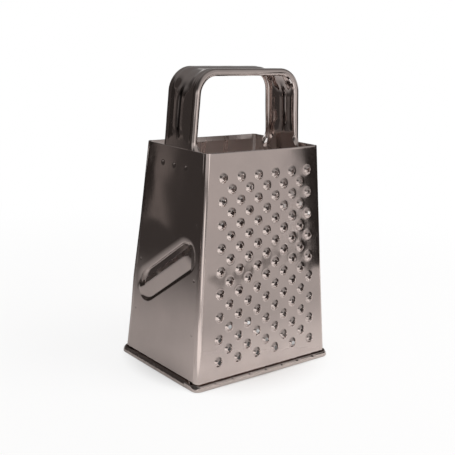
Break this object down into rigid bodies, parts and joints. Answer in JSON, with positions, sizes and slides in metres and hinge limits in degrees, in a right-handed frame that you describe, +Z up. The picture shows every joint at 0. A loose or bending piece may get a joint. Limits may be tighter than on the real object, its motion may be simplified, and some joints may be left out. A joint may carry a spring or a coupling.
{
  "type": "box grater",
  "caption": "Four-sided tapered steel box grater with punched crowns, a slicer, shredding hoods, a strap handle and a rolled base rim.",
  "frame": {"origin": "centre of the base, on the plane that the rim stands on", "axes": "+Z up along the body, +X to the right along the crowned front wall, which faces -Y; the slicing wall faces -X"},
  "size_m": [0.1118, 0.085, 0.1895],
  "materials": {
    "wall_steel": "polished stainless steel sheet",
    "handle_steel": "polished stainless steel strap",
    "rim_steel": "rolled stainless steel strip",
    "weld_steel": "spot weld mark"
  },
  "bodies": {
    "root": {"front_panel": "wall_steel", "back_panel": "wall_steel", "left_panel": "wall_steel", "right_panel": "wall_steel", "handle_strap": "handle_steel", "base_rim": "rim_steel", "left_handle_welds": "weld_steel", "right_handle_welds": "weld_steel", "front_left_seam_welds": "weld_steel", "front_right_seam_welds": "weld_steel", "back_left_seam_welds": "weld_steel", "back_right_seam_welds": "weld_steel"}
  },
  "joints": []
}
